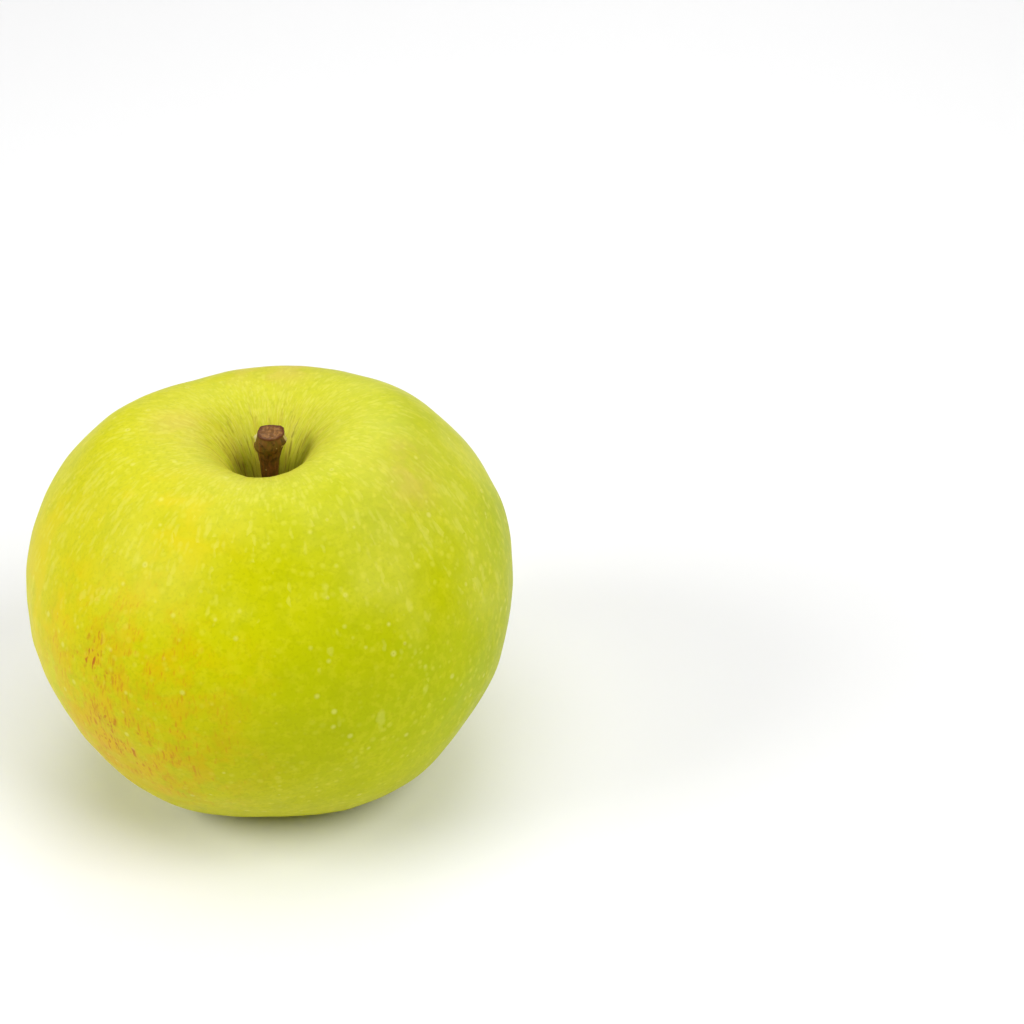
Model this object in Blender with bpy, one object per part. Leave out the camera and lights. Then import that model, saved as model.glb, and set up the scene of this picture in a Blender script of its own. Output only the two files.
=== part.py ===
"""A green cooking apple as picked, standing on its base.

The fruit is one solid, flesh and skin, with the hollow that the stalk grows from on top and the basin of the
eye underneath. The woody stalk and what is left of the flower, five dry sepals round a tuft of stamens, are
pieces of their own. Metres, +Z up. The origin is on the standing surface, under the middle of the fruit.
"""

import math

import bmesh
import bpy
from mathutils import Matrix, Vector

MM = 0.001

# Driving dimensions
GIRTH_RADIUS = 42.0 * MM  # mean radius of the fruit that the outline's shares refer to
SHOULDER_HEIGHT = 66.1 * MM  # height that the outline's shares refer to
CAVITY_DEPTH = 17.0 * MM  # from the shoulders down to the seat of the stalk
BASIN_DEPTH = 9.0 * MM  # from the feet up to the floor of the eye's basin
STALK_TOP = 65.7 * MM  # height of the middle of the stalk's broken end
FOOT_FLAT = 0.35 * MM  # how far the feet are pressed flat by standing
STALK_CLEAR = 0.55 * MM  # the stalk's foot over the lowest point of its seat, 0.3 mm from the seat's sides

# Growth: how far the fruit is from a turned shape
RIBS = 5  # one for each seed chamber
RIB_ANGLE = math.radians(21)  # where the first rib stands, seen from above, from +X
RIB_SWELL = 0.006  # share of the radius that a rib stands out
RIB_FOOT = 0.0155  # share of the height that a rib reaches down as a foot
RIB_CROWN = 0.005  # share of the height that a rib rises at the shoulder
SHOULDER_TILT = Vector((0.030, 0.019))  # rise of the shoulder towards +X and towards +Y
SHOULDER_SADDLE = 0.041  # share of the height: high along X, low along Y
LEAN = Vector((-0.028, 0.002))  # sideways lean of the top over the base, as shares of the radius
STALK_OFFSET = Vector((1.4 * MM, 0.0))  # the cavity's middle, off the fruit's own axis

# Mesh fineness
OUTLINE_STEPS = 4  # steps in each stretch of the outline
TURN_STEPS = 60
STALK_SIDES = 14

FRUIT_COLOUR = (0.55, 0.56, 0.02, 1.0)
STALK_COLOUR = (0.12, 0.06, 0.015, 1.0)
SEPAL_COLOUR = (0.20, 0.14, 0.07, 1.0)
STAMEN_COLOUR = (0.08, 0.045, 0.02, 1.0)


def clear_scene():
    for old in list(bpy.data.objects):
        bpy.data.objects.remove(old)


def plain_material(name, colour, roughness):
    made = bpy.data.materials.new(name)
    made.use_nodes = True
    shader = made.node_tree.nodes["Principled BSDF"]
    shader.inputs["Base Color"].default_value = colour
    shader.inputs["Roughness"].default_value = roughness
    shader.inputs["Metallic"].default_value = 0.0
    made.diffuse_color = colour
    return made


def add_piece(name, shape, parent, material):
    """Makes the finished bmesh into an object with this name."""
    bmesh.ops.recalc_face_normals(shape, faces=shape.faces)
    mesh = bpy.data.meshes.new(name)
    shape.to_mesh(mesh)
    shape.free()
    mesh.shade_smooth()
    mesh.set_sharp_from_angle(angle=math.radians(50))
    mesh.materials.append(material)
    piece = bpy.data.objects.new(name, mesh)
    piece.parent = parent
    bpy.context.scene.collection.objects.link(piece)
    return piece


# --- The fruit ---------------------------------------------------------------------------------------------


def outline_controls():
    """Control points of the outline, (radius, height), from the stalk's seat over the shoulder to the eye."""
    seat = SHOULDER_HEIGHT - CAVITY_DEPTH
    shares = [
        (0.00, seat / SHOULDER_HEIGHT),
        (0.078, seat / SHOULDER_HEIGHT),
        (0.117, (seat + 0.28 * CAVITY_DEPTH) / SHOULDER_HEIGHT),
        (0.152, (seat + 0.61 * CAVITY_DEPTH) / SHOULDER_HEIGHT),
        (0.241, (seat + 0.88 * CAVITY_DEPTH) / SHOULDER_HEIGHT),
        (0.406, 1.001),
        (0.601, 0.990),
        (0.790, 0.863),
        (1.002, 0.677),
        (1.024, 0.370),
        (0.812, 0.126),
        (0.507, -0.035),
        (0.28, 0.025),
        (0.19, 0.85 * BASIN_DEPTH / SHOULDER_HEIGHT),
        (0.10, BASIN_DEPTH / SHOULDER_HEIGHT),
        (0.00, BASIN_DEPTH / SHOULDER_HEIGHT),
    ]
    return [(r * GIRTH_RADIUS, z * SHOULDER_HEIGHT) for r, z in shares]


def outline_points():
    """The outline as points on one smooth cubic curve through the XZ plane."""
    curve = bpy.data.curves.new("fruit_outline", "CURVE")
    curve.dimensions = "3D"
    controls = outline_controls()
    spline = curve.splines.new("NURBS")
    spline.points.add(len(controls) - 1)
    for point, (radius, height) in zip(spline.points, controls):
        point.co = (radius, 0.0, height, 1.0)
    spline.order_u = 4
    spline.use_endpoint_u = True
    spline.resolution_u = OUTLINE_STEPS
    guide = bpy.data.objects.new("fruit_outline", curve)
    mesh = guide.to_mesh()
    points = [v.co.copy() for v in mesh.vertices]
    guide.to_mesh_clear()
    bpy.data.objects.remove(guide)
    points[0].x = 0.0
    points[-1].x = 0.0
    return points


def grown(turned):
    """Moves a point of the turned shape to where the fruit grew: ribs, uneven shoulders and a little lean."""
    radius = math.hypot(turned.x, turned.y)
    angle = math.atan2(turned.y, turned.x)
    out = radius / GIRTH_RADIUS
    up = min(max(turned.z / SHOULDER_HEIGHT, 0.0), 1.0)
    down = 1.0 - up
    rib = math.cos(RIBS * (angle - RIB_ANGLE))
    swell = 1.0 + RIB_SWELL * rib
    tilt = SHOULDER_TILT.x * math.cos(angle) + SHOULDER_TILT.y * math.sin(angle)
    crown = tilt + SHOULDER_SADDLE * math.cos(2 * angle) + RIB_CROWN * rib
    rise = out * SHOULDER_HEIGHT * (up**2 * crown - down**3 * RIB_FOOT * rib)
    shift = LEAN * (up - 0.5) * GIRTH_RADIUS + STALK_OFFSET * up * max(1.0 - out, 0.0) ** 2
    return Vector((turned.x * swell + shift.x, turned.y * swell + shift.y, turned.z + rise))


def fruit_shape():
    """The turned outline, grown to its real shape, with the lowest 0.35 mm of each foot cut off flat."""
    shape = bmesh.new()
    verts = [shape.verts.new(point) for point in outline_points()]
    edges = [shape.edges.new(pair) for pair in zip(verts, verts[1:])]
    bmesh.ops.spin(
        shape,
        geom=verts + edges,
        cent=(0, 0, 0),
        axis=(0, 0, 1),
        dvec=(0, 0, 0),
        angle=math.tau,
        steps=TURN_STEPS,
        use_merge=True,
    )
    bmesh.ops.remove_doubles(shape, verts=shape.verts, dist=1e-6)
    for vert in shape.verts:
        vert.co = grown(vert.co)
    lowest = min(vert.co.z for vert in shape.verts)
    drop = lowest + FOOT_FLAT
    bmesh.ops.translate(shape, verts=shape.verts, vec=(0, 0, -drop))
    bmesh.ops.bisect_plane(
        shape,
        geom=shape.verts[:] + shape.edges[:] + shape.faces[:],
        plane_co=(0, 0, 0),
        plane_no=(0, 0, -1),
        clear_outer=True,
    )
    bmesh.ops.holes_fill(shape, edges=shape.edges, sides=0)
    return shape, drop


def middle_of(shape):
    """Centre of the shape's bounding box, seen from above."""
    xs = [vert.co.x for vert in shape.verts]
    ys = [vert.co.y for vert in shape.verts]
    return Vector(((min(xs) + max(xs)) / 2, (min(ys) + max(ys)) / 2, 0.0))


# --- The stalk ---------------------------------------------------------------------------------------------


def ring_stack(stations, sides):
    """A closed solid through oval rings. A station is (centre, across, along Y, nod of the ring towards -Y)."""
    shape = bmesh.new()
    rings = []
    for centre, across, deep, nod in stations:
        place = Matrix.Translation(centre) @ Matrix.Rotation(nod, 4, "X")
        corners = [math.tau * i / sides for i in range(sides)]
        ring = [
            shape.verts.new(place @ Vector((across * math.cos(a), deep * math.sin(a), 0.0))) for a in corners
        ]
        rings.append(ring)
    for lower, upper in zip(rings, rings[1:]):
        for i in range(sides):
            j = (i + 1) % sides
            shape.faces.new((lower[i], lower[j], upper[j], upper[i]))
    shape.faces.new(rings[0][::-1])
    shape.faces.new(rings[-1])
    return shape


def stalk_shape(seat):
    """A short stout stalk: a flared foot in the cavity, a narrow shaft and a knob where it left the spur."""
    foot = seat.z + STALK_CLEAR
    length = STALK_TOP - foot
    stations = [
        # share of the length, radius across, radius along Y, sideways bend, nod of the ring
        (0.00, 1.55 * MM, 1.55 * MM, 0.00 * MM, 0.0),
        (0.07, 1.75 * MM, 1.70 * MM, 0.02 * MM, 0.0),
        (0.20, 1.45 * MM, 1.42 * MM, 0.05 * MM, 0.0),
        (0.45, 1.45 * MM, 1.40 * MM, 0.05 * MM, 0.0),
        (0.62, 1.65 * MM, 1.50 * MM, 0.15 * MM, 0.02),
        (0.75, 2.12 * MM, 1.80 * MM, 0.25 * MM, 0.04),
        (0.89, 2.85 * MM, 2.35 * MM, 0.50 * MM, 0.08),
        (0.96, 2.60 * MM, 2.25 * MM, 0.65 * MM, 0.11),
        (1.00, 2.30 * MM, 2.05 * MM, 0.70 * MM, 0.12),
    ]
    rings = [
        (Vector((seat.x + bend, seat.y, foot + share * length)), across, deep, nod)
        for share, across, deep, bend, nod in stations
    ]
    return ring_stack(rings, STALK_SIDES)


# --- What is left of the flower ----------------------------------------------------------------------------

SEPAL_RING = 2.4 * MM  # radius at which the sepals spring from the basin's floor
SEPAL_THICKNESS = 0.7 * MM
SEPAL_ROOT = 0.55 * MM  # how far below the floor's middle the sepals and stamens begin


def sepal_shape(eye, angle):
    """One dry sepal: a pointed blade that stands down out of the basin and turns outwards at its tip."""
    blade = [
        # outward from the eye's axis, down from the basin's floor, half width
        (SEPAL_RING, SEPAL_ROOT, 1.20 * MM),
        (SEPAL_RING + 0.1 * MM, 1.6 * MM, 1.25 * MM),
        (SEPAL_RING + 0.3 * MM, 2.9 * MM, 1.10 * MM),
        (SEPAL_RING + 0.9 * MM, 4.0 * MM, 0.80 * MM),
        (SEPAL_RING + 1.9 * MM, 4.7 * MM, 0.30 * MM),
    ]
    shape = bmesh.new()
    inner = [shape.verts.new((out, side * half, -down)) for out, down, half in blade for side in (-1, 1)]
    faces = [shape.faces.new((inner[i], inner[i + 1], inner[i + 3], inner[i + 2])) for i in (0, 2, 4, 6)]
    bmesh.ops.recalc_face_normals(shape, faces=faces)
    bmesh.ops.solidify(shape, geom=faces, thickness=SEPAL_THICKNESS)
    place = Matrix.Translation(eye) @ Matrix.Rotation(angle, 4, "Z")
    bmesh.ops.transform(shape, matrix=place, verts=shape.verts)
    return shape


def stamen_shape(eye):
    """The dry stamens and styles, taken together as one tuft that hangs in the ring of sepals."""
    stations = [
        # down from the basin's floor, radius
        (SEPAL_ROOT, 1.20 * MM),
        (1.6 * MM, 1.05 * MM),
        (2.8 * MM, 1.30 * MM),
        (3.8 * MM, 1.00 * MM),
    ]
    rings = [(eye - Vector((0, 0, down)), radius, radius, 0.0) for down, radius in reversed(stations)]
    return ring_stack(rings, 10)


def main():
    clear_scene()
    fruit, drop = fruit_shape()
    apple = bpy.data.objects.new("apple", None)
    apple.location = -middle_of(fruit)
    bpy.context.scene.collection.objects.link(apple)
    add_piece("fruit", fruit, apple, plain_material("fruit_skin", FRUIT_COLOUR, 0.4))

    lift = Vector((0, 0, -drop))
    seat = grown(Vector((0, 0, SHOULDER_HEIGHT - CAVITY_DEPTH))) + lift
    add_piece("stalk", stalk_shape(seat), apple, plain_material("stalk_bark", STALK_COLOUR, 0.6))

    eye = grown(Vector((0, 0, BASIN_DEPTH))) + lift
    sepal_material = plain_material("dry_sepal", SEPAL_COLOUR, 0.85)
    for i in range(RIBS):
        angle = RIB_ANGLE + math.tau * i / RIBS
        add_piece(f"sepal_{i + 1}", sepal_shape(eye, angle), apple, sepal_material)
    add_piece("stamens", stamen_shape(eye), apple, plain_material("dry_stamen", STAMEN_COLOUR, 0.9))


main()
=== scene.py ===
import math
import random

import bpy
import numpy as np
from mathutils import Matrix, Vector, noise


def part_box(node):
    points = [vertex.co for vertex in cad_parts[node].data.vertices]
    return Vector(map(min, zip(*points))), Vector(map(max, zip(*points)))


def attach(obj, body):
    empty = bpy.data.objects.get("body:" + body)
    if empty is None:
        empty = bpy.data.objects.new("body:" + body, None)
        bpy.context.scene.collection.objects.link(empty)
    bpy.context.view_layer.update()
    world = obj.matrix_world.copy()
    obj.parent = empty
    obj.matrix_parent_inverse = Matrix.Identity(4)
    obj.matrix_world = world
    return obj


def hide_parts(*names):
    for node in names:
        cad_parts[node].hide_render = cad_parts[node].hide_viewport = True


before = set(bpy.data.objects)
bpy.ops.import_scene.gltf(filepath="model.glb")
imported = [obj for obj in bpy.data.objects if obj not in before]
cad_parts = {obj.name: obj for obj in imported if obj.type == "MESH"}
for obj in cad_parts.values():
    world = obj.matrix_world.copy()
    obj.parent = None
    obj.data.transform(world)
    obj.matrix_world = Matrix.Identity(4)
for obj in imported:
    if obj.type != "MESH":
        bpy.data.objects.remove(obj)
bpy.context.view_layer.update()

# --- The fruit ----------------------------------------------------------------------------------------
# A big green apple: crisp flesh under a waxy skin, grown in one piece from the flower's base. The outline
# is turned round the core, then pulled out of true by five seed chambers, uneven shoulders and a lean.
# The skin is yellow-green, streaked and flecked paler on the shoulders, with corky dots and a low blush.

TURNS = 380  # points round the fruit
STATIONS = 250  # points along its outline, from the stalk's seat to the eye
GIRTH = 42.0  # mm, the radius that the outline's shares refer to
SHOULDER = 66.1  # mm, the height that they refer to
CAVITY = 17.0  # mm from the shoulder down to the seat of the stalk
BASIN = 9.0  # mm from the feet up to the eye
STANDING_FLAT = 0.35  # mm pressed flat under each foot
RIBS = 5  # one for each seed chamber
RIB_ANGLE = math.radians(21)
RIB_SWELL, RIB_FOOT, RIB_CROWN = 0.006, 0.0155, 0.005  # shares: outward, down as a foot, up at the shoulder
SHOULDER_TILT = (0.030, 0.019)  # rise of the shoulder towards +X and towards +Y, as shares of its height
SHOULDER_SADDLE = 0.041  # share of the height: high along X, low along Y
LEAN = (-0.028, 0.002)  # of the top over the base, as shares of the radius
CAVITY_ASIDE = 1.4  # mm, the cavity's middle off the fruit's own axis


def smooth_outline(controls, count):
    """Points at even distances along the cubic curve that the control points steer."""
    curve = bpy.data.curves.new("outline_guide", "CURVE")
    curve.dimensions = "3D"
    spline = curve.splines.new("NURBS")
    spline.points.add(len(controls) - 1)
    for point, (across, up) in zip(spline.points, controls):
        point.co = (across, 0.0, up, 1.0)
    spline.order_u = 4
    spline.use_endpoint_u = True
    spline.resolution_u = 60
    guide = bpy.data.objects.new("outline_guide", curve)
    mesh = guide.to_mesh()
    raw = np.array([(v.co.x, v.co.z) for v in mesh.vertices])
    guide.to_mesh_clear()
    bpy.data.objects.remove(guide)
    bpy.data.curves.remove(curve)
    run = np.concatenate([[0.0], np.cumsum(np.hypot(*np.diff(raw, axis=0).T))])
    even = np.linspace(0.0, run[-1], count)
    return np.column_stack([np.interp(even, run, raw[:, 0]), np.interp(even, run, raw[:, 1])])


def turned_points(outline, turns):
    """Radius, angle and height of the outline's points turned round Z, one ring of points after another."""
    ring = np.ones(turns)
    angle = np.arange(turns) * (math.tau / turns)
    return outline[:, :1] * ring, np.ones((len(outline), 1)) * angle, outline[:, 1:] * ring


def add_mesh(name, points, faces, smooth=True):
    """A mesh object with this name, in the scene."""
    mesh = bpy.data.meshes.new(name)
    mesh.from_pydata([tuple(p) for p in points], [], faces)
    mesh.validate()
    if smooth:
        mesh.shade_smooth()
    made = bpy.data.objects.new(name, mesh)
    bpy.context.scene.collection.objects.link(made)
    return made


def ring_faces(rings, sides):
    """Quads between rings of points that follow each other, closed round."""
    faces = []
    for start in range(0, (rings - 1) * sides, sides):
        for i in range(sides):
            j = (i + 1) % sides
            faces.append((start + i, start + j, start + sides + j, start + sides + i))
    return faces


def grown_fruit(radius, angle, height):
    """Where a turned point sits once the fruit has grown: ribs, uneven shoulders, lean and cavity."""
    out = radius / GIRTH
    up = np.clip(height / SHOULDER, 0.0, 1.0)
    rib = np.cos(RIBS * (angle - RIB_ANGLE))
    swell = 1.0 + RIB_SWELL * rib
    tilt = SHOULDER_TILT[0] * np.cos(angle) + SHOULDER_TILT[1] * np.sin(angle)
    crown = tilt + SHOULDER_SADDLE * np.cos(2 * angle) + RIB_CROWN * rib
    rise = out * SHOULDER * (up**2 * crown - (1.0 - up) ** 3 * RIB_FOOT * rib)
    aside = CAVITY_ASIDE * up * np.clip(1.0 - out, 0.0, None) ** 2
    x = radius * np.cos(angle) * swell + LEAN[0] * (up - 0.5) * GIRTH + aside
    y = radius * np.sin(angle) * swell + LEAN[1] * (up - 0.5) * GIRTH
    return np.stack([x, y, height + rise], axis=-1)


def surface_normals(grid):
    """Outward unit normals of a grid of points, rings down the first axis and turns along the second."""
    along = np.gradient(grid, axis=0)
    around = np.roll(grid, -1, axis=1) - np.roll(grid, 1, axis=1)
    normal = np.cross(around, along)
    length = np.linalg.norm(normal, axis=-1, keepdims=True)
    return -normal / np.maximum(length, 1e-9)


def uneven(points, size, seed, octaves=3):
    """Smooth noise from about -1 to 1 at each point, with bumps of this size in the points' own unit."""
    shift = Vector((seed * 17.3, seed * 5.1, seed * 9.7))
    flat = points.reshape(-1, 3) / size
    values = [noise.fractal(Vector(p) + shift, 1.0, 2.0, octaves) for p in flat.tolist()]
    return np.array(values).reshape(points.shape[:-1])


seat = SHOULDER - CAVITY
fruit_controls = [
    (0.0, seat),
    (0.078 * GIRTH, seat),
    (0.117 * GIRTH, seat + 0.28 * CAVITY),
    (0.152 * GIRTH, seat + 0.61 * CAVITY),
    (0.241 * GIRTH, seat + 0.88 * CAVITY),
    (0.406 * GIRTH, 1.001 * SHOULDER),
    (0.601 * GIRTH, 0.990 * SHOULDER),
    (0.790 * GIRTH, 0.863 * SHOULDER),
    (1.002 * GIRTH, 0.677 * SHOULDER),
    (1.024 * GIRTH, 0.370 * SHOULDER),
    (0.812 * GIRTH, 0.126 * SHOULDER),
    (0.507 * GIRTH, -0.035 * SHOULDER),
    (0.280 * GIRTH, 0.025 * SHOULDER),
    (0.190 * GIRTH, 0.85 * BASIN),
    (0.100 * GIRTH, BASIN),
    (0.0, BASIN),
]
radius, angle, height = turned_points(smooth_outline(fruit_controls, STATIONS), TURNS)
skin_points = grown_fruit(radius, angle, height)
normals = surface_normals(skin_points)
normals[0] = normals[1].mean(axis=0)
normals[-1] = normals[-2].mean(axis=0)

# What growth leaves on the surface: broad swells, slight dents, furrows in the cavity, puckers at the eye.
station = np.arange(STATIONS)[:, None]
in_cavity = np.clip((SHOULDER - height) / CAVITY, 0.0, 1.0) * (station < STATIONS * 0.22)
near_eye = np.exp(-((radius / 8.5) ** 2)) * (station > STATIONS * 0.7)
round_axis = np.stack([np.cos(angle), np.sin(angle), height / SHOULDER], axis=-1)
furrows = uneven(round_axis * np.array([1.0, 1.0, 0.25]), 0.14, 3, 2)
swells = uneven(skin_points, 22.0, 1)
dents = uneven(skin_points, 6.0, 2, 2)
push = 0.55 * swells + 0.06 * dents + 0.30 * furrows * in_cavity + 0.34 * furrows * near_eye  # mm
push *= np.clip(radius / 3.0, 0.0, 1.0)
skin_points = skin_points + normals * push[..., None]
skin_points[..., 2] -= skin_points[..., 2].min() + STANDING_FLAT
skin_points[..., 2] = np.maximum(skin_points[..., 2], 0.0)

fruit_low, fruit_high = (np.array(corner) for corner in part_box("fruit"))
grown_low, grown_high = skin_points.min(axis=(0, 1)), skin_points.max(axis=(0, 1))
to_frame = (fruit_high - fruit_low) / (grown_high - grown_low)
skin_points = fruit_low + (skin_points - grown_low) * to_frame
seat_point = Vector(skin_points[0].mean(axis=0))
eye_point = Vector(skin_points[-1].mean(axis=0))

body_points = skin_points[1:-1].reshape(-1, 3)
fruit_faces = ring_faces(STATIONS - 2, TURNS)
top_pole, low_pole = len(body_points), len(body_points) + 1
last_ring = len(body_points) - TURNS
for i in range(TURNS):
    j = (i + 1) % TURNS
    fruit_faces.append((top_pole, j, i))
    fruit_faces.append((low_pole, last_ring + i, last_ring + j))
fruit_faces = [face[::-1] for face in fruit_faces]
fruit = add_mesh("apple_skin", list(body_points) + [seat_point, eye_point], fruit_faces)


def seen(red, green, blue):
    """A colour given as it looks on a screen, 0 to 255, made linear for a shader."""
    shares = [channel / 255 for channel in (red, green, blue)]
    linear = [s / 12.92 if s <= 0.04045 else ((s + 0.055) / 1.055) ** 2.4 for s in shares]
    return (*linear, 1.0)


def fill(tree, made, values):
    """Sets a node's inputs. A value may be a number, a colour or the output of another node."""
    for socket, value in values.items():
        if isinstance(value, bpy.types.NodeSocket):
            tree.links.new(value, made.inputs[socket])
        else:
            made.inputs[socket].default_value = value


def place(tree, kind, values=None, **settings):
    """Adds a shader node, with its settings and its inputs."""
    made = tree.nodes.new("ShaderNode" + kind)
    for name, setting in settings.items():
        setattr(made, name, setting)
    fill(tree, made, values or {})
    return made


def math_of(tree, operation, first, second=0.0, third=0.0):
    return place(tree, "Math", {0: first, 1: second, 2: third}, operation=operation).outputs[0]


def vector_of(tree, operation, first, second=(0.0, 0.0, 0.0)):
    other = "Scale" if operation == "SCALE" else 1
    made = place(tree, "VectorMath", {0: first, other: second}, operation=operation)
    return made.outputs["Value" if operation in ("LENGTH", "DOT_PRODUCT", "DISTANCE") else "Vector"]


def between(tree, value, start, end, low=0.0, high=1.0):
    """Smoothly from low, where value is at start, to high, where it is at end."""
    names = {"Value": value, "From Min": start, "From Max": end, "To Min": low, "To Max": high}
    return place(tree, "MapRange", names, interpolation_type="SMOOTHSTEP").outputs[0]


def blend(tree, share, under, over):
    """The colour under, with this share of the colour over laid on it."""
    return place(tree, "Mix", {0: share, 6: under, 7: over}, data_type="RGBA").outputs[2]


def effect_group(name, inputs, outputs):
    """An empty shader group. Inputs are (name, default), outputs are names of values."""
    group = bpy.data.node_groups.new(name, "ShaderNodeTree")
    for label, default in inputs:
        kind = "NodeSocketFloat" if isinstance(default, float) else "NodeSocketVector"
        socket = group.interface.new_socket(label, in_out="INPUT", socket_type=kind)
        socket.default_value = default
    for label in outputs:
        group.interface.new_socket(label, in_out="OUTPUT", socket_type="NodeSocketFloat")
    start = group.nodes.new("NodeGroupInput").outputs
    end = group.nodes.new("NodeGroupOutput").inputs
    return group, start, end


def use_effect(tree, group, values):
    made = place(tree, "Group")
    made.node_tree = group
    fill(tree, made, values)
    return made.outputs


def new_finish(name, roughness, specular):
    """A material with only its Principled shader, and that shader's fixed values."""
    made = bpy.data.materials.new(name)
    made.use_nodes = True
    shader = made.node_tree.nodes["Principled BSDF"]
    shader.inputs["Roughness"].default_value = roughness
    shader.inputs["Specular IOR Level"].default_value = specular
    return made, made.node_tree, shader


# Cloud: soft patches of a given size, cut between two levels.
cloud, given, result = effect_group(
    "cloud",
    [("Vector", (0.0, 0.0, 0.0)), ("Scale", 50.0), ("Detail", 2.0), ("Low", 0.4), ("High", 0.6)],
    ["Mask", "Height"],
)
puffs = place(cloud, "TexNoise", {socket: given[socket] for socket in ("Vector", "Scale", "Detail")})
cloud.links.new(between(cloud, puffs.outputs["Fac"], given["Low"], given["High"]), result["Mask"])
cloud.links.new(puffs.outputs["Fac"], result["Height"])

# Specks: small separate spots, each of its own size, some left out.
specks, given, result = effect_group(
    "specks",
    [("Vector", (0.0, 0.0, 0.0)), ("Scale", 400.0), ("Size", 0.2), ("Edge", 0.08), ("Share", 0.7)],
    ["Mask", "Core", "Chance"],
)
cells = place(specks, "TexVoronoi", {"Vector": given["Vector"], "Scale": given["Scale"]}, feature="F1")
lots = place(specks, "SeparateColor", {0: cells.outputs["Color"]}).outputs
size = math_of(specks, "MULTIPLY", given["Size"], math_of(specks, "MULTIPLY_ADD", lots[1], 0.8, 0.5))
inside = math_of(specks, "SUBTRACT", size, given["Edge"])
spot = between(specks, cells.outputs["Distance"], size, inside)
kept = math_of(specks, "LESS_THAN", lots[0], given["Share"])
specks.links.new(math_of(specks, "MULTIPLY", spot, kept), result["Mask"])
core = between(specks, cells.outputs["Distance"], math_of(specks, "MULTIPLY", size, 0.45), 0.0)
specks.links.new(math_of(specks, "MULTIPLY", core, kept), result["Core"])
specks.links.new(lots[2], result["Chance"])

skin, tree, shader = new_finish("waxy_skin", 0.42, 0.06)
shader.inputs["Subsurface Weight"].default_value = 0.06
shader.inputs["Subsurface Scale"].default_value = 0.003
shader.inputs["Subsurface Radius"].default_value = (1.0, 0.8, 0.1)
position = place(tree, "TexCoord").outputs["Object"]
axis = place(tree, "SeparateXYZ", {0: position}).outputs
stray = place(tree, "TexNoise", {"Vector": position, "Scale": 420.0, "Detail": 2.0}).outputs["Color"]
stray = vector_of(tree, "SUBTRACT", stray, (0.5, 0.5, 0.5))


# The next few work in the material being built, in its object's own space.
def times(first, *others):
    for other in others:
        first = math_of(tree, "MULTIPLY", first, other)
    return first


def scaled(value, factor, plus):
    return math_of(tree, "MULTIPLY_ADD", value, factor, plus)


def strongest(first, *others):
    for other in others:
        first = math_of(tree, "MAXIMUM", first, other)
    return first


def cloud_of(scale, low, high, detail=3.0):
    """Soft patches, cut between two levels."""
    return use_effect(
        tree, cloud, {"Vector": position, "Scale": scale, "Detail": detail, "Low": low, "High": high}
    )


def specks_of(size, edge, share, scale=1.0, vector=None):
    """Small spots, in this many cells to the metre or along growth lines."""
    where = position if vector is None else vector
    values = {"Vector": where, "Scale": scale, "Size": size, "Edge": edge, "Share": share}
    return use_effect(tree, specks, values)


def growth_lines(source, turns, steps, wander=0.0, seed=0.0):
    """Noise drawn out along lines that run outward from a point, as from the stalk over the shoulders."""
    away = vector_of(tree, "SUBTRACT", position, tuple(source))
    reach = vector_of(tree, "LENGTH", away)
    heading = vector_of(tree, "NORMALIZE", vector_of(tree, "MULTIPLY", away, (1.0, 1.0, 0.0)))
    climb = place(tree, "CombineXYZ", {0: seed, 1: seed, 2: times(reach, steps)}).outputs[0]
    straight = vector_of(tree, "ADD", vector_of(tree, "SCALE", heading, turns), climb)
    lines = vector_of(tree, "ADD", straight, vector_of(tree, "SCALE", stray, wander))
    grain = place(tree, "TexNoise", {"Vector": lines, "Scale": 1.0, "Detail": 3.0, "Roughness": 0.55})
    return {"Height": grain.outputs["Fac"], "Reach": reach, "Lines": lines}


def patch(middle, outer, inner, ragged=0.010):
    """A ragged patch of skin round one point: 1 within the inner radius, 0 beyond the outer one."""
    distance = vector_of(tree, "DISTANCE", position, middle)
    return between(tree, scaled(edge_drift["Height"], ragged, distance), outer, inner)


# Ground colour: yellower towards -X and low down, greener and darker towards +X, with slow drifts and a fine
# mottle.
# The darker +X side is partly the skin's own greener tone and partly painted shade on that side.
edge_drift = cloud_of(90.0, 0.3, 0.7)
drift = cloud_of(26.0, 0.36, 0.66)
sideways = between(tree, axis[0], -0.034, 0.042)
less_below = between(tree, axis[2], 0.004, 0.036, 0.45, 1.0)
# Partly painted shade: the share that turns the +X side greener also darkens it.
green_and_shade_share = times(sideways, scaled(drift["Mask"], 0.5, 0.5), less_below)
ground = blend(tree, green_and_shade_share, seen(206, 203, 2), seen(172, 188, 0))
mottle = cloud_of(620.0, 0.46, 0.64)
ground = blend(tree, times(mottle["Mask"], 0.26), ground, seen(218, 214, 40))
deep_mottle = cloud_of(260.0, 0.50, 0.66, 4.0)
ground = blend(tree, times(deep_mottle["Mask"], 0.20), ground, seen(168, 178, 0))
pinpricks = cloud_of(1700.0, 0.50, 0.66, 2.0)
ground = blend(tree, times(pinpricks["Mask"], 0.30), ground, seen(172, 176, 0))

# Warm patches on the shoulder towards -X, where the green has gone from the skin, and three rosy ones.
warm = strongest(
    patch((-0.0150, -0.0230, 0.0630), 0.024, 0.008),
    patch((-0.034, -0.016, 0.046), 0.026, 0.010),
)
warm_cloud = cloud_of(140.0, 0.42, 0.62)
ground = blend(tree, times(warm, scaled(warm_cloud["Mask"], 0.6, 0.15)), ground, seen(224, 204, 2))
rosy = strongest(
    patch((-0.0140, 0.0010, 0.0655), 0.015, 0.005),
    patch((0.0, 0.0260, 0.0650), 0.020, 0.008),
    patch((0.0238, -0.0110, 0.0660), 0.016, 0.007),
)
ground = blend(tree, times(rosy, scaled(warm_cloud["Mask"], 0.32, 0.10)), ground, seen(222, 184, 100))

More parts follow.
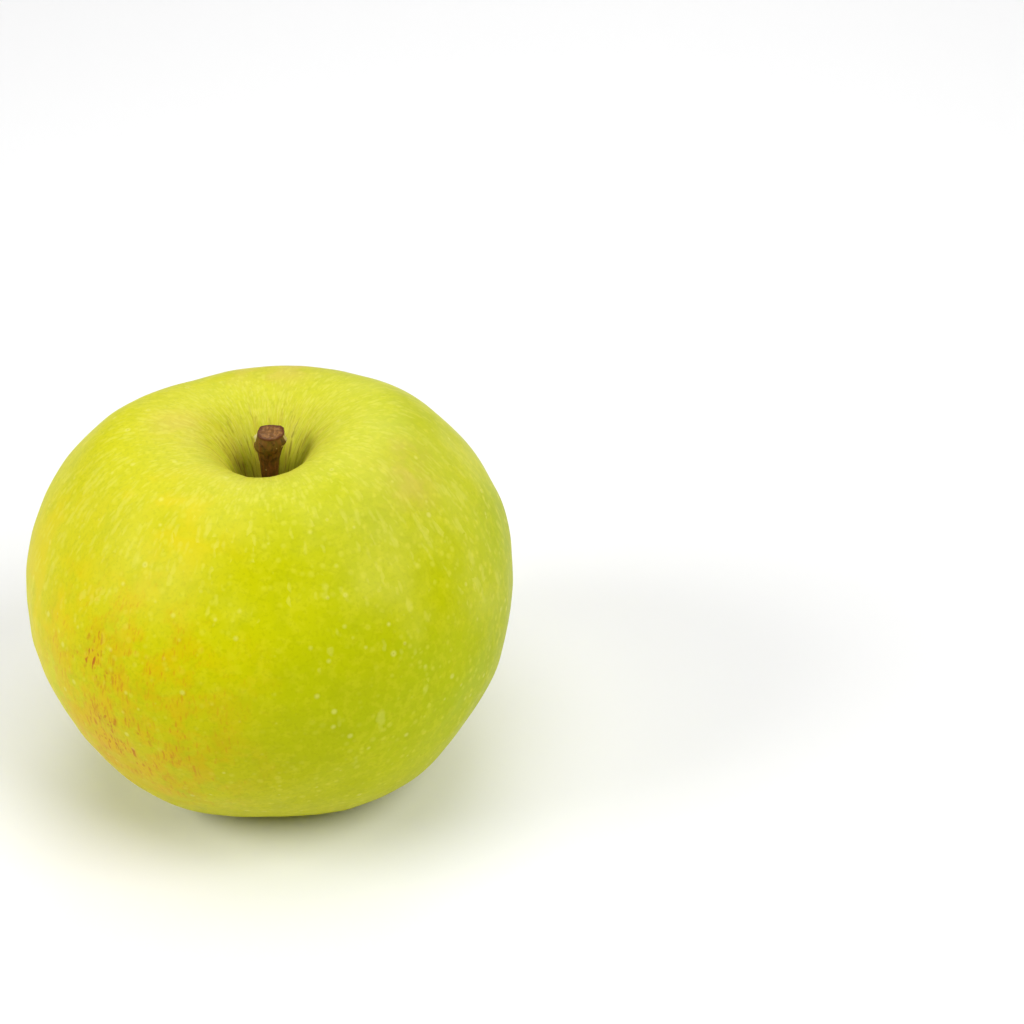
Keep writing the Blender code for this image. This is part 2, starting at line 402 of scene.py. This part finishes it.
# Pale flecks over the shoulders, drawn out along the growth lines. They thin out below, soonest in front.
flow = growth_lines(seat_point, 23.0, 560.0, 1.0)
small_flow = growth_lines(seat_point, 34.0, 820.0, 1.2, 4.0)
off_centre = math_of(tree, "ABSOLUTE", math_of(tree, "SUBTRACT", axis[0], 0.004))
zone_reach = scaled(edge_drift["Height"], -0.022, scaled(off_centre, -0.32, flow["Reach"]))
zone = between(tree, zone_reach, 0.023, 0.007)
above_girth = between(tree, axis[2], 0.022, 0.034)
fleck_share = times(scaled(zone, 0.96, 0.03), above_girth)
flecks = specks_of(0.52, 0.36, fleck_share, vector=flow["Lines"])
small_flecks = specks_of(0.50, 0.34, fleck_share, vector=small_flow["Lines"])
fleck_mask = strongest(flecks["Mask"], times(small_flecks["Mask"], 0.8))
# A pale haze over the shoulders, stronger towards +X, and a pale patch in front: partly the skin's own paler
# shoulders, partly painted sheen of the lamps above.
pale_haze_and_sheen = times(zone, scaled(sideways, 0.24, 0.14))
pale_front = times(patch((-0.0120, -0.0300, 0.0566), 0.016, 0.004), 0.20)
ground = blend(tree, strongest(pale_haze_and_sheen, pale_front), ground, seen(226, 223, 104))
ground = blend(tree, times(fleck_mask, 0.30), ground, seen(228, 224, 100))

# Freckles: faint, small and close together everywhere except on the smooth part in front.
smooth_part = patch((0.0060, -0.0390, 0.0440), 0.030, 0.012, 0.012)
freckles = specks_of(0.40, 0.34, 0.7, scale=640.0)
freckle_share = times(freckles["Mask"], scaled(smooth_part, -0.26, 0.34))
ground = blend(tree, freckle_share, ground, seen(224, 220, 76))

# Fine pale lines round the mouth of the cavity.
fine = growth_lines(seat_point, 50.0, 420.0, 0.8, 9.0)
mouth = between(tree, fine["Reach"], 0.026, 0.014)
line_mask = times(between(tree, fine["Height"], 0.48, 0.64), mouth)
ground = blend(tree, times(line_mask, 0.34), ground, seen(230, 224, 110))

# The blush on the side that saw the sun: a thin orange wash, deeper low down, with a fine stipple.
blush = patch((-0.0210, -0.0365, 0.0330), 0.038, 0.016, 0.016)
blush_cloud = cloud_of(230.0, 0.40, 0.62, 4.0)
ground = blend(tree, times(blush, scaled(blush_cloud["Mask"], 0.50, 0.06)), ground, seen(224, 180, 6))
blush_low = patch((-0.0250, -0.0330, 0.0210), 0.024, 0.006, 0.014)
ground = blend(tree, times(blush_low, 0.36), ground, seen(214, 152, 50))
stipple = specks_of(0.56, 0.46, 0.8, vector=growth_lines(seat_point, 100.0, 1500.0, 2.0, 7.0)["Lines"])
stippled = times(stipple["Mask"], between(tree, blush_cloud["Height"], 0.40, 0.58))
ground = blend(tree, times(stippled, blush, 0.55), ground, seen(204, 126, 22))

# Short red-brown strokes in the blush, in loose clusters that follow the growth lines.
strokes = specks_of(0.60, 0.46, 0.95, vector=growth_lines(seat_point, 66.0, 1200.0, 2.6, 2.0)["Lines"])
clustered = times(strokes["Mask"], between(tree, blush_cloud["Height"], 0.43, 0.56))
stroke_zone = strongest(
    patch((-0.0262, -0.0315, 0.0425), 0.017, 0.006, 0.014),
    patch((-0.0218, -0.0354, 0.0285), 0.020, 0.008, 0.014),
)
ground = blend(tree, times(clustered, stroke_zone, 0.85), ground, seen(184, 88, 26))

# Corky dots: pale, some with a dark middle.
dots = specks_of(0.19, 0.17, 0.62, scale=330.0)
ground = blend(tree, times(dots["Mask"], 0.50), ground, seen(230, 226, 112))
dark_heart = times(dots["Core"], math_of(tree, "GREATER_THAN", dots["Chance"], 0.55))
ground = blend(tree, times(dark_heart, 0.35), ground, seen(140, 132, 24))

# The cavity: olive and a little russet towards the stalk, with dark lines down its wall. The olive that
# deepens down the wall is partly its own tone and partly painted shade; nearest the stalk it is painted
# shade alone.
wall = growth_lines(seat_point, 17.0, 260.0, 0.9, 5.0)
broad_wall = growth_lines(seat_point, 5.0, 60.0, 0.3, 6.0)
russet_wall = between(tree, broad_wall["Height"], 0.42, 0.58)
wall_colour = blend(tree, russet_wall, seen(150, 152, 10), seen(168, 132, 48))
# Partly painted shade: the olive and russet grow stronger down the wall, into the recess.
wall_depth_and_shade = between(tree, wall["Reach"], 0.023, 0.005)
wall_share = times(wall_depth_and_shade, scaled(between(tree, wall["Height"], 0.46, 0.62), 0.42, 0.40))
ground = blend(tree, wall_share, ground, wall_colour)
dashes = between(tree, wall["Height"], 0.56, 0.68, 0.0, 0.5)
ground = blend(tree, times(between(tree, wall["Reach"], 0.022, 0.010), dashes), ground, seen(112, 98, 34))
# Painted shade: darker olive deep in the cavity, close to the stalk, where little light reaches.
ground = blend(tree, between(tree, wall["Reach"], 0.0130, 0.0070, 0.0, 0.5), ground, seen(104, 96, 6))

# The eye: a ring of dry russet on the floor of the basin, wrinkled towards the sepals.
to_eye = vector_of(tree, "DISTANCE", position, tuple(eye_point))
russet_ring = between(tree, scaled(edge_drift["Height"], 0.003, to_eye), 0.0080, 0.0040)
wrinkles = growth_lines(eye_point, 9.0, 400.0)
russet_share = times(scaled(between(tree, wrinkles["Height"], 0.42, 0.60), 0.45, 0.45), russet_ring)
ground = blend(tree, russet_share, ground, seen(128, 104, 40))
tree.links.new(ground, shader.inputs["Base Color"])

rough = scaled(drift["Height"], 0.12, scaled(fleck_mask, 0.06, 0.36))
tree.links.new(rough, shader.inputs["Roughness"])

peel = cloud_of(1500.0, 0.3, 0.7, 2.0)
relief = scaled(dots["Mask"], 0.6, times(peel["Height"], 0.35))
relief = scaled(mottle["Height"], 0.5, relief)
relief = scaled(fleck_mask, 0.25, relief)
bump = place(tree, "Bump", {"Height": relief, "Strength": 0.5, "Distance": 0.00012})
tree.links.new(bump.outputs[0], shader.inputs["Normal"])

fruit.data.materials.append(skin)
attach(fruit, "root")
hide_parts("fruit")

# --- The stalk ----------------------------------------------------------------------------------------
# A short woody stalk, bark round a tough core, grown out of the seat of the cavity. It is a narrow shaft
# with a knob at its end, where it broke off the tree and left a slightly hollow face with a rim of bark.

STALK_SIDES = 72
STALK_RINGS = 110
FACE_NOD = 0.13  # how far the broken face slopes towards -Y
SCAR_TURN, SCAR_SHARE = 2.95, 0.925  # where a bract sat: radians round, share of the length
stalk_low, stalk_high = (np.array(corner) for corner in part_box("stalk"))
stalk_length = (stalk_high[2] - stalk_low[2]) * 1000

# share of the length, radius along X, radius along Y, sideways bend, the last three in mm
stalk_stations = np.array(
    [
        (0.00, 1.45, 1.45, 0.00),
        (0.06, 1.75, 1.70, 0.02),
        (0.20, 1.42, 1.40, 0.05),
        (0.45, 1.42, 1.38, 0.05),
        (0.62, 1.60, 1.50, 0.12),
        (0.75, 2.02, 1.80, 0.20),
        (0.84, 2.42, 2.15, 0.35),
        (0.91, 2.52, 2.30, 0.55),
        (0.96, 2.42, 2.22, 0.68),
        (1.00, 2.20, 2.05, 0.72),
    ]
)
# lumps of the knob: mm outward, radians round, share of the length, width in radians, reach in shares
knob_lumps = [
    (0.34, math.pi, 0.825, 0.60, 0.045),
    (0.40, -0.10, 0.905, 0.55, 0.035),
    (0.22, -1.30, 0.86, 0.55, 0.05),
    (0.25, 1.7, 0.90, 0.60, 0.05),
    (0.42, SCAR_TURN, SCAR_SHARE, 0.21, 0.026),
    (0.34, 0.75, 1.0, 0.36, 0.05),
    (0.34, 2.35, 1.0, 0.36, 0.05),
    (-0.16, -0.8, 1.0, 0.6, 0.05),
]
share = np.linspace(0.0, 1.0, STALK_RINGS)
eased = [np.interp(share, stalk_stations[:, 0], stalk_stations[:, column]) for column in (1, 2, 3)]
soften = np.ones(9) / 9
across, deep, bend = (np.convolve(np.pad(line, 4, "edge"), soften, "valid") for line in eased)
turn = np.arange(STALK_SIDES) * (math.tau / STALK_SIDES)


def capped_faces(rings, sides):
    """Quads between rings of points, and one face over each end."""
    faces = ring_faces(rings, sides)
    faces.append(tuple(range(sides))[::-1])
    faces.append(tuple(range((rings - 1) * sides, rings * sides)))
    return faces


def fitted(points, node):
    """The points moved and scaled so that their bounds are the node's own."""
    low, high = (np.array(corner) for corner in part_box(node))
    span_low, span_high = points.min(axis=0), points.max(axis=0)
    return low + (points - span_low) * (high - low) / (span_high - span_low)


wood = np.stack(np.broadcast_arrays(np.cos(turn)[None, :], np.sin(turn)[None, :], share[:, None]), axis=-1)
grain_ridges = uneven(wood * np.array([1.0, 1.0, 1.2]), 0.28, 11, 3)
bark_rings = uneven(wood * np.array([1.0, 1.0, 16.0]), 1.3, 12, 2)
swell = 0.10 * grain_ridges + 0.05 * bark_rings
for lump_height, at_turn, at_share, wide, tall in knob_lumps:
    aside = np.angle(np.exp(1j * (turn - at_turn)))[None, :]
    swell += lump_height * np.exp(-((aside / wide) ** 2) - (((share[:, None] - at_share) / tall) ** 2))
stalk_x = np.cos(turn) * (across[:, None] + swell) + bend[:, None]
stalk_y = np.sin(turn) * (deep[:, None] + swell)
nod = FACE_NOD * np.clip((share - 0.55) / 0.45, 0.0, 1.0)[:, None]
stalk_z = share[:, None] * stalk_length + stalk_y * nod
stalk_points = np.stack([stalk_x, stalk_y, stalk_z], axis=-1)

# The broken face: rings inward from the rim, rough and a little hollow.
rim = stalk_points[-1]
rim_middle = rim.mean(axis=0)
face_rings = []
for inward in (0.94, 0.86, 0.74, 0.60, 0.45, 0.30, 0.15):
    ring = rim_middle + (rim - rim_middle) * inward
    lip = 0.07 if inward > 0.9 else 0.0
    ring[:, 2] += 0.09 * uneven(ring, 0.5, 14, 3) - 0.30 * (1.0 - inward) ** 0.6 + lip
    face_rings.append(ring)
stalk_rings = np.concatenate([stalk_points, np.array(face_rings)])
flat_points = fitted(stalk_rings.reshape(-1, 3), "stalk")
stalk = add_mesh("woody_stalk", flat_points, capped_faces(len(stalk_rings), STALK_SIDES))
face_middle = flat_points[(STALK_RINGS - 1) * STALK_SIDES : STALK_RINGS * STALK_SIDES].mean(axis=0)
scar_ring = int(SCAR_SHARE * STALK_RINGS) * STALK_SIDES
scar_middle = flat_points[scar_ring + int(SCAR_TURN / math.tau * STALK_SIDES)]

bark, tree, shader = new_finish("bark", 0.55, 0.30)
position = place(tree, "TexCoord").outputs["Object"]
axis = place(tree, "SeparateXYZ", {0: position}).outputs
long_grain = vector_of(tree, "MULTIPLY", position, (1.0, 1.0, 0.30))
streaks = use_effect(
    tree, cloud, {"Vector": long_grain, "Scale": 1900.0, "Detail": 4.0, "Low": 0.40, "High": 0.62}
)
stain = cloud_of(520.0, 0.40, 0.62)
low_down = between(tree, axis[2], 0.0625, 0.0590)
bark_colour = blend(tree, stain["Mask"], seen(104, 80, 18), seen(78, 56, 10))
bark_colour = blend(tree, times(low_down, 0.60), bark_colour, seen(84, 42, 8))
bark_colour = blend(tree, times(streaks["Mask"], 0.45), bark_colour, seen(140, 84, 34))
crust = cloud_of(1300.0, 0.56, 0.66, 2.0)
bark_colour = blend(tree, times(crust["Mask"], 0.55), bark_colour, seen(52, 28, 8))
glints = specks_of(0.28, 0.14, 0.40, scale=900.0)
bark_colour = blend(tree, times(glints["Mask"], 0.8), bark_colour, seen(196, 168, 96))

# The broken face, brown inside a dark rim.
from_face = vector_of(tree, "SUBTRACT", position, tuple(face_middle))
over_face = vector_of(tree, "DOT_PRODUCT", from_face, (0.0, -FACE_NOD, 0.99))
on_face = between(tree, over_face, -0.00042, -0.00022)
ragged_middle = scaled(crust["Height"], 0.0012, vector_of(tree, "LENGTH", from_face))
inside_rim = between(tree, ragged_middle, 0.0027, 0.0020)
pith = cloud_of(1500.0, 0.42, 0.62)
face_colour = blend(tree, pith["Mask"], seen(112, 72, 26), seen(150, 104, 50))
face_colour = blend(tree, inside_rim, seen(96, 52, 16), face_colour)
bark_colour = blend(tree, on_face, bark_colour, face_colour)

# The pale scar of a bract on one side of the knob, and on the other a painted highlight: a pale strip below
# the rim of the broken face, where that edge catches the light.
scar = between(tree, vector_of(tree, "DISTANCE", position, tuple(scar_middle)), 0.00120, 0.00085)
bark_colour = blend(tree, scar, bark_colour, seen(214, 204, 136))
face_axis = place(tree, "SeparateXYZ", {0: from_face}).outputs
# Painted highlight along the knob's rim towards +X, drawn as a pale strip.
off_highlight_strip = math_of(tree, "ABSOLUTE", math_of(tree, "ADD", face_axis[1], 0.0001))
rim_highlight_strip = times(
    between(tree, face_axis[0], 0.0008, 0.0012),
    between(tree, off_highlight_strip, 0.0007, 0.0005),
    between(tree, over_face, -0.0020, -0.0012),
    between(tree, over_face, -0.00020, -0.00040, 0.0, 0.8),
)
bark_colour = blend(tree, rim_highlight_strip, bark_colour, seen(196, 182, 112))
tree.links.new(bark_colour, shader.inputs["Base Color"])
wood_relief = scaled(glints["Mask"], 0.5, scaled(streaks["Height"], 0.8, crust["Height"]))
bump = place(tree, "Bump", {"Height": wood_relief, "Strength": 0.7, "Distance": 0.00018})
tree.links.new(bump.outputs[0], shader.inputs["Normal"])
stalk.data.materials.append(bark)
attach(stalk, "root")
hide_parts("stalk")

# --- The sepals ---------------------------------------------------------------------------------------
# Five dry sepals, the outer leaves of the flower, shrivelled on the fruit's base. Each springs from the
# basin's floor, stands down out of it and curls back at its tip: a thin brown blade, felted with hairs.

SEPAL_COUNT = 5
HAIRS = 150
BLADE_STEPS, BLADE_WIDE = 36, 18  # points along a blade and across it
BLADE_THICK = 0.10  # mm from its middle to either side, less towards its edges
chance = random.Random(5)

# outward from the eye's axis, down from the basin's floor, half width, all in mm
blade_stations = np.array(
    [
        (2.40, 0.55, 1.15),
        (2.48, 1.30, 1.25),
        (2.56, 2.20, 1.20),
        (2.78, 3.10, 1.00),
        (3.25, 3.95, 0.72),
        (3.85, 4.50, 0.42),
        (4.30, 4.60, 0.10),
    ]
)


def tube(path, radii, sides):
    """Points and faces of a closed round tube along a path, with its radius at each of the path's points."""
    path = np.array(path, dtype=float)
    heading = np.gradient(path, axis=0)
    heading /= np.linalg.norm(heading, axis=1, keepdims=True)
    aside = np.cross(heading, (0.31, 0.95, 0.07))
    aside /= np.linalg.norm(aside, axis=1, keepdims=True)
    other = np.cross(heading, aside)
    turns = np.arange(sides) * (math.tau / sides)
    ring = aside[:, None] * np.cos(turns)[None, :, None] + other[:, None] * np.sin(turns)[None, :, None]
    points = path[:, None] + ring * np.array(radii)[:, None, None]
    return points.reshape(-1, 3), capped_faces(len(path), sides)


def joined(parts):
    """One list of points and one of faces from several."""
    points, faces = [], []
    for part_points, part_faces in parts:
        faces += [tuple(i + len(points) for i in face) for face in part_faces]
        points += [tuple(p) for p in part_points]
    return np.array(points), faces


def sepal_parts(seed):
    """A sepal's blade and hairs, in mm, standing along +X from the eye's axis with its root uppermost."""
    along = np.linspace(0.0, 1.0, BLADE_STEPS)
    knots = np.linspace(0.0, 1.0, len(blade_stations))
    out, down, half = (np.interp(along, knots, blade_stations[:, column]) for column in range(3))
    wide = np.linspace(-1.0, 1.0, BLADE_WIDE)
    blade_grid = np.stack(np.meshgrid(along * 4.0, wide * 1.3, [seed * 3.0], indexing="ij"), axis=-1)
    crumple = uneven(blade_grid[:, :, 0], 0.8, 21, 3)
    cup = -0.42 * wide[None, :] ** 2 * (1.0 - 0.4 * along[:, None])
    rib = 0.10 * np.exp(-((wide / 0.16) ** 2))[None, :] + 0.05 * np.cos(wide * 9.0)[None, :]
    edge_line = np.stack([along * 9.0, along * 0.0, along * 0.0 + seed], axis=-1)
    ragged = 1.0 + 0.10 * uneven(edge_line, 1.0, 22, 2)
    blade_x = out[:, None] + cup + 0.16 * crumple
    blade_y = wide[None, :] * (half * ragged)[:, None]
    blade_z = 0.10 * crumple - down[:, None]
    middle = np.stack([blade_x, blade_y, blade_z], axis=-1)
    lean = np.gradient(np.column_stack([out, -down]), axis=0)
    facing = np.column_stack([-lean[:, 1], np.zeros(BLADE_STEPS), lean[:, 0]])
    facing /= np.linalg.norm(facing, axis=1, keepdims=True)
    thick = (BLADE_THICK * (1.0 - 0.75 * wide**2))[None, :, None]
    outer = middle + facing[:, None] * (thick + rib[..., None] * 0.5)
    inner = middle - facing[:, None] * thick
    loops = np.concatenate([outer, inner[:, ::-1]], axis=1)
    parts = [(loops.reshape(-1, 3), capped_faces(BLADE_STEPS, 2 * BLADE_WIDE))]
    for _ in range(HAIRS):
        step, across_blade = chance.randrange(1, BLADE_STEPS - 1), chance.randrange(BLADE_WIDE)
        side = chance.choice((1.0, 1.0, -1.0))
        root = (outer if side > 0 else inner)[step, across_blade]
        stray_way = np.array([chance.uniform(-1, 1), chance.uniform(-1, 1), chance.uniform(-1.3, 0.4)])
        first = facing[step] * side + 0.7 * stray_way
        reach = chance.uniform(0.12, 0.34)
        bent = root + first * reach * 0.6 + np.array([0.0, 0.0, -0.05])
        tip = bent + (first * 0.4 + stray_way * 0.6) * reach
        parts.append(tube([root - facing[step] * side * 0.03, bent, tip], [0.020, 0.014, 0.004], 3))
    return joined(parts)


felt, tree, shader = new_finish("dry_felt", 0.85, 0.25)
position = place(tree, "TexCoord").outputs["Object"]
dry = cloud_of(700.0, 0.40, 0.62)
fine_dry = cloud_of(2600.0, 0.42, 0.62)
felt_colour = blend(tree, dry["Mask"], seen(112, 84, 48), seen(150, 124, 84))
felt_colour = blend(tree, times(fine_dry["Mask"], 0.5), felt_colour, seen(176, 158, 122))
axis = place(tree, "SeparateXYZ", {0: position}).outputs
withered = between(tree, axis[2], 0.0062, 0.0047, 0.0, 0.6)
felt_colour = blend(tree, withered, felt_colour, seen(58, 38, 20))
tree.links.new(felt_colour, shader.inputs["Base Color"])
bump = place(tree, "Bump", {"Height": fine_dry["Height"], "Strength": 0.7, "Distance": 0.0001})
tree.links.new(bump.outputs[0], shader.inputs["Normal"])

for i in range(SEPAL_COUNT):
    node = f"sepal_{i + 1}"
    points, faces = sepal_parts(i)
    spin = np.array(Matrix.Rotation(RIB_ANGLE + math.tau * i / SEPAL_COUNT, 3, "Z"))
    sepal = add_mesh(f"dry_sepal_{i + 1}", fitted(points @ spin.T, node), faces)
    sepal.data.materials.append(felt)
    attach(sepal, "root")
    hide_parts(node)

# --- The stamens --------------------------------------------------------------------------------------
# What is left within the sepals: a tuft of dry stamens, threads with shrivelled anthers, round the flower's
# five styles. All stand on the cushion at the middle of the basin's floor, from which they grew.

STAMENS = 26
STYLES = 5
tuft = []
cushion = [(0.0, 0.0, -z) for z in (0.55, 0.62, 0.80, 1.05, 1.20)]
tuft.append(tube(cushion, [0.80, 0.98, 0.94, 0.62, 0.20], 28))
for i in range(STAMENS):
    turned = math.tau * i / STAMENS + chance.uniform(-0.12, 0.12)
    foot = 0.78 + chance.uniform(-0.16, 0.10)
    height = chance.uniform(1.3, 2.4)
    sway, spread = chance.uniform(-0.5, 0.5), chance.uniform(-0.30, 0.42)
    path = []
    for step in np.linspace(0.0, 1.0, 9):
        away = foot + spread * step**1.5 + 0.10 * math.sin(step * 5.0 + i)
        swung = turned + sway * step
        path.append((away * math.cos(swung), away * math.sin(swung), -0.75 - height * step))
    tuft.append(tube(path, [0.060, 0.050, 0.045, 0.042, 0.040, 0.038, 0.036, 0.034, 0.030], 7))
    tip = np.array(path[-1])
    hang = np.array([chance.uniform(-0.5, 0.5), chance.uniform(-0.5, 0.5), -1.0])
    hang /= np.linalg.norm(hang)
    anther = [tip + hang * far for far in (-0.12, -0.05, 0.05, 0.15, 0.26, 0.34, 0.38)]
    tuft.append(tube(anther, [0.02, 0.09, 0.12, 0.10, 0.12, 0.08, 0.02], 8))
for i in range(STYLES):
    turned = RIB_ANGLE + math.tau * (i + 0.5) / STYLES
    path = []
    for step in np.linspace(0.0, 1.0, 9):
        away = 0.12 + 0.34 * step**2 + 0.05 * math.sin(step * 6.0 + i)
        path.append((away * math.cos(turned), away * math.sin(turned), -1.0 - 2.2 * step))
    tuft.append(tube(path, [0.13, 0.12, 0.10, 0.085, 0.075, 0.07, 0.07, 0.10, 0.05], 8))
points, faces = joined(tuft)
stamens = add_mesh("dry_stamens", fitted(points, "stamens"), faces)

threads, tree, shader = new_finish("dry_threads", 0.8, 0.25)
position = place(tree, "TexCoord").outputs["Object"]
axis = place(tree, "SeparateXYZ", {0: position}).outputs
faded = cloud_of(1600.0, 0.40, 0.62)
thread_colour = blend(tree, faded["Mask"], seen(98, 70, 38), seen(156, 124, 80))
anther_end = between(tree, axis[2], 0.0070, 0.0060, 0.0, 0.7)
thread_colour = blend(tree, anther_end, thread_colour, seen(62, 40, 22))
tree.links.new(thread_colour, shader.inputs["Base Color"])
bump = place(tree, "Bump", {"Height": faded["Height"], "Strength": 0.6, "Distance": 0.0001})
tree.links.new(bump.outputs[0], shader.inputs["Normal"])
stamens.data.materials.append(threads)
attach(stamens, "root")
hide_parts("stamens")

# --- The stage ----------------------------------------------------------------------------------------
# A pale matt table top, four soft lamps and the camera, which looks down on the fruit from in front.

FLOOR_REACH = 6.0  # metres from the middle to each edge
LAMP_AIM = (0.0, 0.0, 0.03)  # the point in the fruit that every lamp faces
VIEW_FROM = (0.0420, -0.3327, 0.2696)
VIEW_DOWN = math.radians(33.5)
VIEW_WIDE = math.radians(24.86)

floor = add_mesh(
    "table_top",
    [(x * FLOOR_REACH, y * FLOOR_REACH, 0.0) for x, y in ((-1, -1), (1, -1), (1, 1), (-1, 1))],
    [(0, 1, 2, 3)],
    smooth=False,
)
board, tree, shader = new_finish("pale_board", 0.6, 0.5)
shader.inputs["Base Color"].default_value = (0.94, 0.94, 0.94, 1.0)
floor.data.materials.append(board)

# name, place, width in metres, power in watts
soft_lamps = [
    ("left_lamp", (-0.85, -0.25, 0.55), 0.60, 6.2),
    ("right_lamp", (0.72, -0.42, 0.88), 0.80, 8.6),
    ("top_lamp", (0.00, 0.00, 1.10), 0.90, 5.2),
    ("back_lamp", (0.10, 0.95, 0.60), 0.80, 3.0),
]
for name, lamp_place, width, power in soft_lamps:
    lamp = bpy.data.lights.new(name, "AREA")
    lamp.shape = "DISK"
    lamp.size = width
    lamp.energy = power
    lamp_object = bpy.data.objects.new(name, lamp)
    lamp_object.location = lamp_place
    lamp_object.rotation_euler = (Vector(LAMP_AIM) - Vector(lamp_place)).to_track_quat("-Z", "Y").to_euler()
    bpy.context.scene.collection.objects.link(lamp_object)

room = bpy.data.worlds.new("studio_room")
room.use_nodes = True
room.node_tree.nodes["Background"].inputs["Color"].default_value = (1.0, 1.0, 1.0, 1.0)
room.node_tree.nodes["Background"].inputs["Strength"].default_value = 0.04
bpy.context.scene.world = room
bpy.context.scene.view_settings.view_transform = "Standard"

lens = bpy.data.cameras.new("camera")
lens.sensor_width = 36.0
lens.angle = VIEW_WIDE
lens.clip_start = 0.01
camera = bpy.data.objects.new("camera", lens)
camera.location = VIEW_FROM
camera.rotation_euler = (math.pi / 2 - VIEW_DOWN, 0.0, 0.0)
bpy.context.scene.collection.objects.link(camera)
bpy.context.scene.camera = camera
